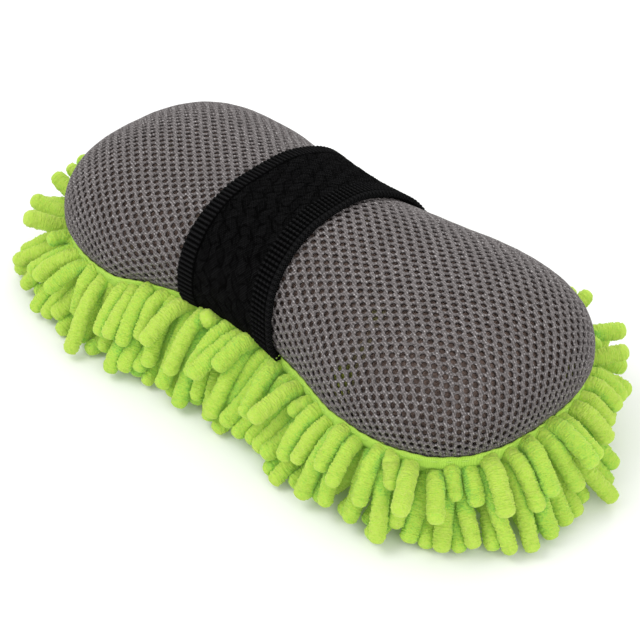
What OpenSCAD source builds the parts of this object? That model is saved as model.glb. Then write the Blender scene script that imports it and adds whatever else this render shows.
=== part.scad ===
// Sponge wash mitt: a foam pad in a spacer-mesh cover, with chenille noodles
// sewn under it and an elastic hand strap over its waist.
// X runs along the pad, Z is up, and z = 0 is the surface the noodle tips rest on.

/* [Pad outline] */
// Length of the pad at the seam
pad_length = 205; // [190:1:225]
// Width of each round end at the seam
lobe_width = 88; // [82:1:96]
// Width of the waist at the seam
waist_width = 70; // [64:1:76]
// Squareness of the round ends, where 2 is a half circle
end_power = 2.6; // [2:0.1:3]

/* [Dome] */
// Height of the cover over the seam, at the ends
lobe_height = 35.5; // [30:0.5:42]
// Height of the cover over the seam, at the waist
waist_height = 39.2; // [32:0.1:44]
// How far the sides bulge past the seam
side_bulge = 2.7; // [1:0.1:5]
// Fullness of the cross section, where 2 is elliptic
crown_power = 2.3; // [2:0.1:3]
// Height of the widest place over the seam, as a share of the dome's height
bulge_share = 0.18; // [0.1:0.01:0.3]
// Thickness of the spacer-mesh cover
cover_thick = 3; // [2:0.5:4]

/* [Base] */
// Height of the seam over the floor
seam_height = 30; // [26:1:36]
// Height of the base cloth's underside over the floor
base_height = 16.5; // [12:0.5:18]
// Height of the seam binding
binding_height = 4.5; // [3:0.5:5]

/* [Hand strap] */
// Width of the elastic strap
strap_width = 48; // [40:1:54]
// Thickness of the strap
strap_thick = 2.2; // [1.5:0.1:3]
// Room between the resting strap and the cover
strap_gap = 0.3; // [0.2:0.1:0.6]

/* [Noodles] */
// Diameter of one chenille noodle
noodle_dia = 5.2; // [4.5:0.1:5.4]
// Distance between rows under the pad
row_pitch = 6.4; // [5.6:0.1:6.6]
// Distance between noodles along a row
noodle_pitch = 7; // [5.6:0.1:12]
// Number of rows under the pad on each side of the middle row
side_rows = 5; // [1:1:5]
// Lean of the upper rim noodles away from straight down
upper_lean = 36; // [25:1:45]
// Lean of the lower rim noodles away from straight down
lower_lean = 22; // [10:1:30]

/* [Hidden] */

LIME = [0.62, 0.93, 0.12];
LIME_CLOTH = [0.66, 0.92, 0.18];
LIME_THREAD = [0.72, 0.98, 0.3];
MESH_GREY = [0.45, 0.44, 0.43];
FOAM = [0.62, 0.58, 0.42];
STRAP_BLACK = [0.09, 0.09, 0.1];

// Rim segments: name, first station and last station, counted anticlockwise
RIM = [
    ["right_end", -3, 3],
    ["back_right", 3, 8],
    ["back_waist", 8, 14],
    ["back_left", 14, 19],
    ["left_end", 19, 25],
    ["front_left", 25, 30],
    ["front_waist", 30, 36],
    ["front_right", 36, 41]
];
ROWS = [for (row = [-side_rows:side_rows]) row];

// The outline is two round ends about the spine's ends and a hollow waist arc
lobe_r = lobe_width / 2;
waist_half = waist_width / 2;
spine_half = pad_length / 2 - lobe_r;
waist_arc_r = (spine_half ^ 2 + waist_half ^ 2 - lobe_r ^ 2) / (2 * (lobe_r - waist_half));
arc_end_x = spine_half * waist_arc_r / (lobe_r + waist_arc_r);

// Stations round the outline: 15 degrees apart on the ends, a quarter strap apart
// along the sides
fan_step = 15;
side_step = strap_width / 4;
side_steps = 4;
strap_first = 9;
strap_last = 13;

// Angles down a dome profile, from near the crown to its widest place
dome_steps = 10;
DOME_ANGLES = [for (k = [1:dome_steps]) 90 * k / dome_steps];
// The moving strap stops just over the widest place, so that it lifts off freely
strap_foot_angle = 89.5;

// Offsets from the outline at the rim
binding_out = 1;
binding_edge = 0.9;
seam_low = seam_height - binding_height;
side_drop = seam_low - base_height;
side_share = [0, 0.29, 0.47, 0.76, 1];
side_in = [0.8, 1.6, 2.4, 4.2, 9];
foam_share = [0, 0.38, 0.68, 0.83];
foam_in = [cover_thick, 4.2, 6.2, 10.2];

// Noodles and their roots
noodle_r = noodle_dia / 2;
root_r = 0.8;
root_taper = 2.5;
tip_flat_r = 1.6;
ribbon_thick = 1.6;
root_inset = 1;
row_ribbon_w = 2.4;
row_ribbon_h = 1.2;
row_margin = 10.5;
upper_tier = 0;
lower_tier = 2;
upper_phase = [0.15, 0.65];
lower_phase = [0.4, 0.9];
tip_clear = 1.4;

// Stitches
stitch_l = 3;
stitch_w = 0.6;
stitch_t = 0.5;

function row_name(row) =
    let (number = row + side_rows + 1)
    str("noodle_row_", number < 10 ? "0" : "", number);

function half_width(x) =
    abs(x) < arc_end_x
        ? waist_half + waist_arc_r - sqrt(waist_arc_r ^ 2 - x ^ 2)
        : sqrt(lobe_r ^ 2 - (abs(x) - spine_half) ^ 2);

function end_reach(angle) =
    lobe_r * (abs(cos(angle)) ^ end_power + abs(sin(angle)) ^ end_power) ^ (-1 / end_power);

// A station is [x of its foot on the spine, direction angle, reach out to the seam]
UPPER_STATIONS = concat(
    [for (angle = [0:fan_step:90]) [spine_half, angle, end_reach(angle)]],
    [for (k = [side_steps:-1:-side_steps]) [k * side_step, 90, half_width(k * side_step)]],
    [for (angle = [90:fan_step:180]) [-spine_half, angle, end_reach(angle)]]
);
upper_last = len(UPPER_STATIONS) - 1;
STATIONS = concat(
    UPPER_STATIONS,
    [for (i = [upper_last - 1:-1:1]) let (s = UPPER_STATIONS[i]) [s[0], -s[1], s[2]]]
);
station_count = len(STATIONS);

function station(i) = STATIONS[(i + station_count) % station_count];

// A point at an offset outside the seam, at height z
function rim_point(s, off, z) =
    [s[0] + (s[2] + off) * cos(s[1]), (s[2] + off) * sin(s[1]), z];

function crown_height(x) =
    lobe_height + (waist_height - lobe_height) * cos(90 * min(1, abs(x) / spine_half)) ^ 2;

// A point on the dome, grown outward by grow, at an angle down from the crown
function dome_point(s, angle, grow) =
    let (
        reach = (s[2] + side_bulge + grow) * sin(angle) ^ (2 / crown_power),
        rise = bulge_share + (1 - bulge_share) * cos(angle) ^ (2 / crown_power)
    )
    [s[0] + reach * cos(s[1]), reach * sin(s[1]),
     seam_height + (crown_height(s[0]) + grow) * rise];

function rim_ring(stations, off, z) = [for (s = stations) rim_point(s, off, z)];
function dome_ring(stations, angle, grow) = [for (s = stations) dome_point(s, angle, grow)];
function dome_down(grow) = [for (a = DOME_ANGLES) dome_ring(STATIONS, a, grow)];
function reversed(list) = [for (i = [len(list) - 1:-1:0]) list[i]];

// Height on the base cloth's side, and its offset there
function side_z(level) = seam_low - side_share[level] * side_drop;
function side_ring(stations, level, grow) =
    rim_ring(stations, grow - side_in[level], side_z(level));

// Two triangles over a four-sided patch, always split the same way up, so that two
// solids that share a surface share its triangles
function patch(points, a, b, c, d) =
    points[a].z <= points[d].z
        ? [[a, d, c], [a, c, b]]
        : [[a, d, b], [b, d, c]];

// Patches between rings that close on themselves, the last ring joined to the first
// when looped
function ring_patches(points, rings, around, looped) =
    [for (v = [0:rings - (looped ? 1 : 2)], u = [0:around - 1])
        let (w = (v + 1) % rings, next = (u + 1) % around)
        each patch(points, v * around + u, v * around + next,
                   w * around + next, w * around + u)];

// Flat strips across a ring, from each station to its mirror image
function cap_strips(first, around) =
    concat(
        [[first, first + 1, first + around - 1]],
        [for (u = [1:around / 2 - 2])
            [first + u, first + u + 1, first + around - u - 1, first + around - u]],
        [[first + around / 2 - 1, first + around / 2, first + around / 2 + 1]]
    );

// A closed solid through rings listed from its bottom cap up to its top cap
module capped_loft(rings) {
    around = len(rings[0]);
    points = [for (ring = rings) each ring];
    top = [for (face = cap_strips((len(rings) - 1) * around, around)) reversed(face)];
    polyhedron(
        points = points,
        faces = concat(
            cap_strips(0, around),
            ring_patches(points, len(rings), around, false),
            top
        )
    );
}

// A closed hoop whose cross section is listed anticlockwise, outer side going up
module hoop(rings) {
    around = len(rings[0]);
    points = [for (ring = rings) each ring];
    polyhedron(points = points, faces = ring_patches(points, len(rings), around, true));
}

// A closed slab between an outer and an inner grid of points, with open ends capped
module slab(outer, inner) {
    levels = len(outer);
    across = len(outer[0]);
    around = 2 * levels;
    points = [for (row = concat(outer, reversed(inner))) each row];
    sides = [for (v = [0:around - 1], u = [0:across - 2])
        let (w = (v + 1) % around)
        each patch(points, v * across + u, v * across + u + 1,
                   w * across + u + 1, w * across + u)];
    start = [for (v = [0:levels - 2])
        [v, around - 1 - v, around - 2 - v, v + 1] * across];
    end = [for (face = start) reversed([for (corner = face) corner + across - 1])];
    polyhedron(points = points, faces = concat(sides, start, end));
}

// One noodle hanging from the origin, with a narrow root and a blunt tip
module noodle(length) {
    rotate_extrude()
        polygon([
            [0, 0],
            [root_r, 0],
            [noodle_r, -root_taper],
            [noodle_r, -length + noodle_r * 0.55],
            [noodle_r * 0.86, -length + noodle_r * 0.2],
            [tip_flat_r, -length],
            [0, -length]
        ]);
}

// A place between two stations on the rim, and the way it faces
function between(i, share, off, z) =
    let (a = rim_point(station(i), off, z), b = rim_point(station(i + 1), off, z))
    a + (b - a) * share;
function facing(i, off) =
    let (e = rim_point(station(i + 1), off, 0) - rim_point(station(i), off, 0))
    atan2(e.y, e.x) - 90;

// A stretch of one rim tier: a ribbon on the base cloth's side and its noodles
module rim_tier(first, last, level, phases, lean) {
    stations = [for (i = [first:last]) station(i)];
    root_z = (side_z(level) + side_z(level + 1)) / 2;
    root_off = root_inset - (side_in[level] + side_in[level + 1]) / 2;
    length = (root_z - tip_clear) / cos(lean);
    slab(
        [side_ring(stations, level + 1, ribbon_thick), side_ring(stations, level, ribbon_thick)],
        [side_ring(stations, level + 1, 0), side_ring(stations, level, 0)]
    );
    for (i = [first:last - 1], share = phases)
        translate(between(i, share, root_off, root_z))
            rotate([0, -lean, facing(i, root_off)])
                noodle(length);
}

// Places along one row under the pad that lie well inside the outline
function inside(x, y) =
    let (past = abs(x) - spine_half)
    past < 0
        ? abs(y) <= half_width(x) - row_margin
        : norm([past, y]) <= end_reach(atan2(abs(y), past)) - row_margin;
function row_places(row) =
    let (shift = row % 2 == 0 ? 0 : noodle_pitch / 2, count = ceil(pad_length / noodle_pitch / 2))
    [for (k = [-count:count])
        let (x = k * noodle_pitch + shift)
        if (inside(x, row * row_pitch)) x];

module noodle_row(row) {
    color(LIME)
        for (x = row_places(row))
            translate([x, row * row_pitch, base_height]) {
                noodle(base_height);
                translate([-noodle_pitch / 2, -row_ribbon_w / 2, -row_ribbon_h])
                    cube([noodle_pitch, row_ribbon_w, row_ribbon_h]);
            }
}

module rim_upper(segment) {
    color(LIME)
        rim_tier(segment[1], segment[2], upper_tier, upper_phase, upper_lean);
}

module rim_lower(segment) {
    color(LIME)
        rim_tier(segment[1], segment[2], lower_tier, lower_phase, lower_lean);
}

// The foam block, from its flat underside up to the inside of the cover
module foam_core() {
    foam_z = [for (share = foam_share) seam_low - share * side_drop];
    color(FOAM)
        capped_loft(concat(
            [for (k = [len(foam_in) - 1:-1:0]) rim_ring(STATIONS, -foam_in[k], foam_z[k])],
            [rim_ring(STATIONS, -cover_thick, seam_height)],
            reversed(dome_down(-cover_thick))
        ));
}

// The thick spacer mesh drawn over the foam and sewn down at the seam
module mesh_cover() {
    color(MESH_GREY)
        capped_loft(concat(
            dome_down(-cover_thick),
            [rim_ring(STATIONS, -cover_thick, seam_height)],
            [rim_ring(STATIONS, 0, seam_height)],
            reversed(dome_down(0))
        ));
}

// The cloth tray that the noodles are sewn to
module base_cloth() {
    foam_z = [for (share = foam_share) seam_low - share * side_drop];
    color(LIME_CLOTH)
        capped_loft(concat(
            [for (level = [len(side_in) - 1:-1:0]) side_ring(STATIONS, level, 0)],
            [for (k = [0:len(foam_in) - 1]) rim_ring(STATIONS, -foam_in[k], foam_z[k])]
        ));
}

// The folded cloth strip that binds the cover's edge to the base cloth
module seam_binding() {
    color(LIME_CLOTH)
        hoop([
            rim_ring(STATIONS, -cover_thick, seam_low),
            rim_ring(STATIONS, binding_out, seam_low),
            rim_ring(STATIONS, binding_out, seam_height - binding_edge),
            rim_ring(STATIONS, 0, seam_height),
            rim_ring(STATIONS, -cover_thick, seam_height)
        ]);
}

function under_strap(i) =
    (i >= strap_first && i < strap_last)
    || (i >= station_count - strap_last && i < station_count - strap_first);

// The line of stitches round the seam, over the strap's ends where they cross it
module seam_stitching() {
    z = (seam_low + seam_height) / 2 - stitch_w;
    color(LIME_THREAD)
        for (i = [0:station_count - 1], share = [0.25, 0.75]) {
            off = binding_out + (under_strap(i) ? strap_thick : 0);
            translate(between(i, share, off, z))
                rotate([0, 0, facing(i, off)])
                    translate([0, -stitch_l / 2, 0])
                        cube([stitch_t, stitch_l, stitch_w]);
        }
}

// The moving span of the strap, a sleeve over the waist just clear of the cover
module hand_strap() {
    foot = [for (i = [strap_last:-1:strap_first]) station(i)];
    angles = concat([for (k = [1:dome_steps - 1]) DOME_ANGLES[k - 1]], [strap_foot_angle]);
    outer = [for (a = angles) dome_ring(foot, a, strap_gap + strap_thick)];
    inner = [for (a = angles) dome_ring(foot, a, strap_gap)];
    color(STRAP_BLACK)
        slab(
            concat(reversed(mirrored(outer)), outer),
            concat(reversed(mirrored(inner)), inner)
        );
}
function mirrored(grid) = [for (row = grid) [for (p = row) [p.x, -p.y, p.z]]];

// A sewn-in end of the strap, lying on the cover and over the binding
module strap_end(first, last) {
    stations = [for (i = [first:last]) station(i)];
    low = seam_low + binding_edge;
    edge = seam_height - binding_edge;
    color(STRAP_BLACK)
        slab(
            [rim_ring(stations, binding_out + strap_thick, low),
             rim_ring(stations, binding_out + strap_thick, edge),
             rim_ring(stations, strap_thick, seam_height),
             [for (s = stations) dome_point(s, 90, 0)
                 + strap_thick * [cos(s[1]), sin(s[1]), 0]]],
            [rim_ring(stations, binding_out, low),
             rim_ring(stations, binding_out, edge),
             rim_ring(stations, 0, seam_height),
             dome_ring(stations, 90, 0)]
        );
}
module strap_end_front() { strap_end(station_count - strap_last, station_count - strap_first); }
module strap_end_back() { strap_end(strap_first, strap_last); }

foam_core();
mesh_cover();
base_cloth();
seam_binding();
seam_stitching();
hand_strap();
strap_end_front();
strap_end_back();
for (row = ROWS)
    noodle_row(row);
for (segment = RIM)
    rim_upper(segment);
for (segment = RIM)
    rim_lower(segment);
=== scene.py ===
"""Wash mitt: the visual model, in metres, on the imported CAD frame.

X runs along the pad, Z is up, and z = 0 is the floor that the noodle tips rest on.
"""
import math

import bpy
import numpy as np
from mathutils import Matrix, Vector

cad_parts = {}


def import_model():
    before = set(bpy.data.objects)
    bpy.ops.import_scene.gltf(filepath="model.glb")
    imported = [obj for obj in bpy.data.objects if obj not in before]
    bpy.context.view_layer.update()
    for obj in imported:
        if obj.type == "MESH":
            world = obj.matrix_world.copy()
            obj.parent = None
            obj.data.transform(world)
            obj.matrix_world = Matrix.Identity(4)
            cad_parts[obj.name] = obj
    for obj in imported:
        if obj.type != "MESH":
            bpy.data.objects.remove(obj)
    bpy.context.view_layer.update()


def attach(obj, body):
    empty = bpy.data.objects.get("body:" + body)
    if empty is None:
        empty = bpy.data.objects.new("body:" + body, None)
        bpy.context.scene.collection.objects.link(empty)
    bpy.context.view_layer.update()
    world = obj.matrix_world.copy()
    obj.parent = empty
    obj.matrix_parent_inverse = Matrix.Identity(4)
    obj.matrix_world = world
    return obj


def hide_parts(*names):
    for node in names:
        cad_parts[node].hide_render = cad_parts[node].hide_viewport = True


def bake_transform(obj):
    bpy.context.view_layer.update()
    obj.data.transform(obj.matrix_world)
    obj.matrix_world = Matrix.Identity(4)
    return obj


MM = 0.001
RNG = np.random.default_rng(20)

# Shape of the pad, as in the CAD source
LOBE_R = 44 * MM
WAIST_HALF = 35 * MM
SPINE_HALF = 58.5 * MM
END_POWER = 2.6
WAIST_ARC_R = (SPINE_HALF**2 + WAIST_HALF**2 - LOBE_R**2) / (2 * (LOBE_R - WAIST_HALF))
ARC_END = SPINE_HALF * WAIST_ARC_R / (LOBE_R + WAIST_ARC_R)
LOBE_CROWN = 35.5 * MM
WAIST_CROWN = 39.2 * MM
SIDE_BULGE = 2.7 * MM
CROWN_POWER = 2.3
BULGE_SHARE = 0.18
SEAM_Z = 30 * MM
BASE_Z = 16.5 * MM
BINDING_LOW = 25.5 * MM
# The seam rises where the strap pulls it up, and hangs a little at the far end
WAIST_LIFT = 3.0 * MM
WAIST_LIFT_X = -6 * MM
WAIST_LIFT_HALF = 54 * MM
END_SAG = 2.4 * MM
# The strap squeezes the back of the waist
SQUEEZE = 2.2 * MM
SQUEEZE_X = 6 * MM
SQUEEZE_HALF = 21 * MM
SQUEEZE_WAY = (0, 0.45, 0.9)

# Places on a section of the cover: the crown, the widest place, the seam, and the
# hidden edge behind the binding
CROWN, WIDEST, SEAM, HIDDEN = 0, 1, 2, 3
HIDDEN_DROP = 4.5 * MM
HIDDEN_IN = 0.6 * MM

# Stations round the seam, as in the CAD source
STATION_COUNT = 44
PER_STATION = 24
RIM = {
    "right_end": (-3, 3),
    "back_right": (3, 8),
    "back_waist": (8, 14),
    "back_left": (14, 19),
    "left_end": (19, 25),
    "front_left": (25, 30),
    "front_waist": (30, 36),
    "front_right": (36, 41),
}


# ---- pad surface


def unit(vectors):
    return vectors / np.linalg.norm(vectors, axis=-1, keepdims=True)


def ways(angle):
    """Flat unit vectors at angles from +X."""
    return np.stack([np.cos(angle), np.sin(angle)], -1)


def smoothstep(low, high, value):
    """From 0 at low to 1 at high, level at both."""
    share = np.clip((value - low) / (high - low), 0, 1)
    return share * share * (3 - 2 * share)


def half_width(x):
    """Half the pad's width at the seam: a hollow waist between two round lobes."""
    x = np.abs(x)
    waist = WAIST_HALF + WAIST_ARC_R - np.sqrt(WAIST_ARC_R**2 - np.minimum(x, ARC_END) ** 2)
    lobe = np.sqrt(LOBE_R**2 - (SPINE_HALF - np.clip(x, ARC_END, SPINE_HALF)) ** 2)
    return np.where(x < ARC_END, waist, lobe)


def reach_at(foot, direction):
    """Distance from a foot on the spine out to the seam."""
    across = np.abs(np.cos(direction)) ** END_POWER + np.abs(np.sin(direction)) ** END_POWER
    return np.where(np.abs(foot) < SPINE_HALF, half_width(foot), LOBE_R * across ** (-1 / END_POWER))


def crown_at(foot):
    """How high the crown stands over the seam."""
    share = np.cos(math.pi / 2 * np.minimum(1, np.abs(foot) / SPINE_HALF)) ** 2
    return LOBE_CROWN + (WAIST_CROWN - LOBE_CROWN) * share


def lift_at(foot):
    """How far the seam lies over its height in the CAD."""
    waist = np.cos(math.pi / 2 * np.minimum(1, np.abs(foot - WAIST_LIFT_X) / WAIST_LIFT_HALF)) ** 2
    return WAIST_LIFT * waist - END_SAG * smoothstep(-44 * MM, -SPINE_HALF, foot)


def profile(foot, reach, place, grow=0.0):
    """Distance out and height at a place on a section grown outward by grow."""
    lift = lift_at(foot)
    crown = crown_at(foot) - lift
    angle = np.clip(place, 0, 1) * math.pi / 2
    under = np.clip(place - WIDEST, 0, 1)
    behind = np.clip(place - SEAM, 0, 1)
    power = 2 / CROWN_POWER
    out = (reach + SIDE_BULGE + grow) * np.sin(angle) ** power
    out = out - SIDE_BULGE * under**2 - HIDDEN_IN * behind
    rise = BULGE_SHARE + (1 - BULGE_SHARE) * np.clip(np.cos(angle), 0, 1) ** power
    z = SEAM_Z + lift + (crown + grow) * rise
    z = z - (crown + grow) * BULGE_SHARE * under - HIDDEN_DROP * behind
    return out, z


def squeezed(points):
    """The back of the waist, drawn down and in under the strap."""
    x, y, z = points[..., 0], points[..., 1], points[..., 2]
    share = np.exp(-(((x - SQUEEZE_X) / SQUEEZE_HALF) ** 2)) * smoothstep(0, 30 * MM, y)
    share = share * smoothstep(SEAM_Z + 4 * MM, SEAM_Z + 22 * MM, z)
    return points - (share * SQUEEZE)[..., None] * SQUEEZE_WAY


def spoke_points(foot, direction, out, z):
    """Points at a distance out from feet on the spine, and at a height."""
    return np.stack([foot + out * np.cos(direction), out * np.sin(direction), z], -1)


def section_points(foot, direction, place, grow=0.0):
    """Points of the cover's surface, grown outward by grow."""
    out, z = profile(foot, reach_at(foot, direction), place, grow)
    return squeezed(spoke_points(foot, direction, out, z))


def make_place_table():
    """Place against distance along a section, for sections from the waist round to the tip."""
    rows = []
    places = np.linspace(CROWN, HIDDEN, 1200)
    for turn in TURNS:
        foot = min(turn, 1.0) * SPINE_HALF
        direction = math.pi / 2 * (1 - max(turn - 1, 0))
        out, z = profile(foot, reach_at(foot, direction), places)
        length = np.concatenate([[0], np.cumsum(np.hypot(np.diff(out), np.diff(z)))])
        rows.append(np.interp(DISTANCES, length, places))
    return np.array(rows)


TURNS = np.linspace(0, 2, 121)
DISTANCES = np.arange(0, 96 * MM, 0.25 * MM)
PLACES = make_place_table()


def unfold(x, y):
    """Foot, direction and distance out of points of the cover laid flat."""
    foot = np.clip(x, -SPINE_HALF, SPINE_HALF)
    side = np.where(y < 0, -math.pi / 2, math.pi / 2)
    direction = np.where(np.abs(x) < SPINE_HALF, side, np.arctan2(y, x - foot))
    return foot, direction, np.hypot(x - foot, y)


def turn_of(foot, direction):
    """How far round a section stands: 0 at the waist, 1 at the last foot, 2 at the tip."""
    end = 2 - np.arcsin(np.clip(np.abs(np.sin(direction)), 0, 1)) / (math.pi / 2)
    return np.where(np.abs(foot) < SPINE_HALF, np.abs(foot) / SPINE_HALF, end)


def place_at(foot, direction, distance):
    """Place on a section at a distance from the crown, out of the table."""
    row = turn_of(foot, direction) / (TURNS[1] - TURNS[0])
    column = np.clip(distance / (DISTANCES[1] - DISTANCES[0]), 0, len(DISTANCES) - 1.001)
    i = np.minimum(row.astype(int), len(TURNS) - 2)
    j = column.astype(int)
    a, b = row - i, column - j
    near = PLACES[i, j] * (1 - b) + PLACES[i, j + 1] * b
    far = PLACES[i + 1, j] * (1 - b) + PLACES[i + 1, j + 1] * b
    return near * (1 - a) + far * a


def distance_to(foot, direction, place):
    """Distance along the sections from the crown to a place."""
    row = np.rint(turn_of(foot, direction) / (TURNS[1] - TURNS[0])).astype(int)
    return DISTANCES[np.argmax(PLACES[row] >= place, axis=-1)]


def on_cover(x, y):
    """Point on the cover for a point of the flat cloth."""
    foot, direction, distance = unfold(x, y)
    return section_points(foot, direction, place_at(foot, direction, distance))


def cover_normal(x, y):
    step = 0.25 * MM
    along = on_cover(x + step, y) - on_cover(x - step, y)
    across = on_cover(x, y + step) - on_cover(x, y - step)
    return unit(np.cross(along, across))


# ---- seam line


def seam_stations():
    """Foot and direction of dense places round the seam, anticlockwise from the +X tip."""
    ends = np.radians(np.arange(0, 91, 15))
    sides = np.arange(48, -49, -12) * MM
    foot = np.concatenate([[SPINE_HALF] * 7, sides, [-SPINE_HALF] * 7])
    direction = np.concatenate([ends, [math.pi / 2] * 9, math.pi / 2 + ends])
    foot = np.concatenate([foot, foot[-2:0:-1], foot[:1]])
    direction = np.concatenate([direction, 2 * math.pi - direction[-2:0:-1], [2 * math.pi]])
    dense = np.arange(STATION_COUNT * PER_STATION) / PER_STATION
    stations = np.arange(STATION_COUNT + 1)
    return np.interp(dense, stations, foot), np.interp(dense, stations, direction)


def closed_lengths(points):
    steps = np.linalg.norm(np.roll(points, -1, 0) - points, axis=1)
    return np.concatenate([[0], np.cumsum(steps)])


SEAM_FOOT, SEAM_DIRECTION = seam_stations()
SEAM_POINTS = section_points(SEAM_FOOT, SEAM_DIRECTION, np.full(len(SEAM_FOOT), float(SEAM)))
SEAM_LENGTHS = closed_lengths(SEAM_POINTS)
SEAM_TOTAL = SEAM_LENGTHS[-1]


def station_length(index):
    """Distance round the seam to a CAD station, which may be counted past either end."""
    laps, station = divmod(index, STATION_COUNT)
    return laps * SEAM_TOTAL + SEAM_LENGTHS[station * PER_STATION]


def seam_xy(length):
    """Points on the seam, flat, at distances round it."""
    looped = np.vstack([SEAM_POINTS, SEAM_POINTS[:1]])
    return np.stack([np.interp(length % SEAM_TOTAL, SEAM_LENGTHS, looped[:, k]) for k in (0, 1)], -1)


def seam_at(length):
    """Points on the seam and the way out from them, flat."""
    step = 0.8 * MM
    along = seam_xy(length + step) - seam_xy(length - step)
    size = np.hypot(along[..., 0], along[..., 1])
    return seam_xy(length), np.stack([along[..., 1] / size, -along[..., 0] / size], -1)


def offset_from_seam(points):
    """How far outside the seam points lie, and the way out there."""
    x, y = points[:, 0], points[:, 1]
    foot, direction, distance = unfold(x, y)
    out = np.stack([np.cos(direction), np.sin(direction), np.zeros_like(x)], -1)
    return distance - reach_at(foot, direction), out


def noise_2d(u, v, size, seed):
    """Smooth noise between about -1 and 1 at flat places, with features of about size."""
    source = np.random.default_rng(seed)
    total = np.zeros_like(u)
    for _ in range(6):
        angle, phase = source.uniform(0, 2 * math.pi, 2)
        wave = 2 * math.pi / (size * source.uniform(0.7, 1.6))
        total += np.sin(wave * (u * math.cos(angle) + v * math.sin(angle)) + phase)
    return total / 3


# ---- mesh making


def add_piece(name, points, faces, material, coords=None):
    """A smooth mesh object. coords is what its material reads as "cloth"."""
    mesh = bpy.data.meshes.new(name)
    mesh.from_pydata(np.asarray(points).tolist(), [], faces)
    mesh.update()
    mesh.shade_smooth()
    if coords is not None:
        layer = mesh.attributes.new("cloth", "FLOAT_VECTOR", "POINT")
        layer.data.foreach_set("vector", np.asarray(coords, dtype=np.float32).ravel())
    piece = bpy.data.objects.new(name, mesh)
    bpy.context.scene.collection.objects.link(piece)
    mesh.materials.append(material)
    return piece


def grid_faces(rows, columns, loop_rows=False, loop_columns=False):
    """Quads over a grid of points listed row by row."""
    i = np.arange(rows if loop_rows else rows - 1)
    j = np.arange(columns if loop_columns else columns - 1)
    i, j = np.meshgrid(i, j, indexing="ij")
    k, m = (i + 1) % rows, (j + 1) % columns
    quads = np.stack([i * columns + j, i * columns + m, k * columns + m, k * columns + j], -1)
    return quads.reshape(-1, 4).tolist()


def capped_faces(rings, sides):
    """Faces through rings of points, closed at each end on one of the last two points."""
    first, last, top = rings * sides, rings * sides + 1, (rings - 1) * sides
    faces = grid_faces(rings, sides, loop_columns=True)
    faces += [[first, (k + 1) % sides, k] for k in range(sides)]
    faces += [[last, top + k, top + (k + 1) % sides] for k in range(sides)]
    return faces


# ---- materials


def make_material(name, roughness, more=None):
    """A material, its node tree and its shader, with constants on the shader's own sockets."""
    material = bpy.data.materials.new(name)
    material.use_nodes = True
    tree = material.node_tree
    shader = tree.nodes["Principled BSDF"]
    values = {"Roughness": roughness, "Specular IOR Level": 0.25, "Sheen Roughness": 0.5}
    for key, value in (values | (more or {})).items():
        shader.inputs[key].default_value = value
    return material, tree, shader


def add_node(tree, kind, inputs=None, **settings):
    """A node whose inputs are sockets to link from, or constants."""
    made = tree.nodes.new(kind)
    for key, value in settings.items():
        setattr(made, key, value)
    for key, value in (inputs or {}).items():
        if isinstance(value, bpy.types.NodeSocket):
            tree.links.new(value, made.inputs[key])
        else:
            made.inputs[key].default_value = value
    return made


def cloth_coords(tree):
    return add_node(tree, "ShaderNodeAttribute", attribute_name="cloth").outputs["Vector"]


def object_coords(tree):
    return add_node(tree, "ShaderNodeTexCoord").outputs["Object"]


def noise(tree, where, scale, detail=3.0):
    made = add_node(tree, "ShaderNodeTexNoise", {"Vector": where, "Scale": scale, "Detail": detail})
    return made.outputs["Fac"]


def math_node(tree, operation, a, b=0.0):
    return add_node(tree, "ShaderNodeMath", {0: a, 1: b}, operation=operation).outputs["Value"]


def ramp(tree, value, stops):
    """A colour ramp through (position, linear colour) stops."""
    made = add_node(tree, "ShaderNodeValToRGB", {"Fac": value})
    elements = made.color_ramp.elements
    elements[0].position, elements[1].position = stops[0][0], stops[-1][0]
    elements[0].color, elements[1].color = (*stops[0][1], 1), (*stops[-1][1], 1)
    for position, colour in stops[1:-1]:
        elements.new(position).color = (*colour, 1)
    return made.outputs["Color"]


def mix(tree, share, a, b):
    """Colour a where share is 0, and colour b where it is 1."""
    made = add_node(tree, "ShaderNodeMix", data_type="RGBA")
    for key, value in (("Factor", share), ("A", a), ("B", b)):
        tree.links.new(value, next(s for s in made.inputs if s.name == key and s.enabled))
    return next(s for s in made.outputs if s.enabled)


def finish_material(tree, shader, colour, height, distance, strength=1.0):
    """Links a colour and a bump to the shader."""
    tree.links.new(colour, shader.inputs["Base Color"])
    inputs = {"Height": height, "Distance": distance, "Strength": strength}
    bump = add_node(tree, "ShaderNodeBump", inputs)
    tree.links.new(bump.outputs["Normal"], shader.inputs["Normal"])


def stripes(tree, where, angle, pitch):
    """Waves across a direction in the cloth, from -1 to 1."""
    way = (math.cos(angle) * 2 * math.pi / pitch, math.sin(angle) * 2 * math.pi / pitch, 0)
    made = add_node(tree, "ShaderNodeVectorMath", {0: where, 1: way}, operation="DOT_PRODUCT")
    return math_node(tree, "SINE", made.outputs["Value"])


def weighted(tree, *terms):
    """The sum of (value, weight) terms."""
    total = 0.0
    for value, weight in terms:
        total = math_node(tree, "ADD", math_node(tree, "MULTIPLY", value, weight), total)
    return total


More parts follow.
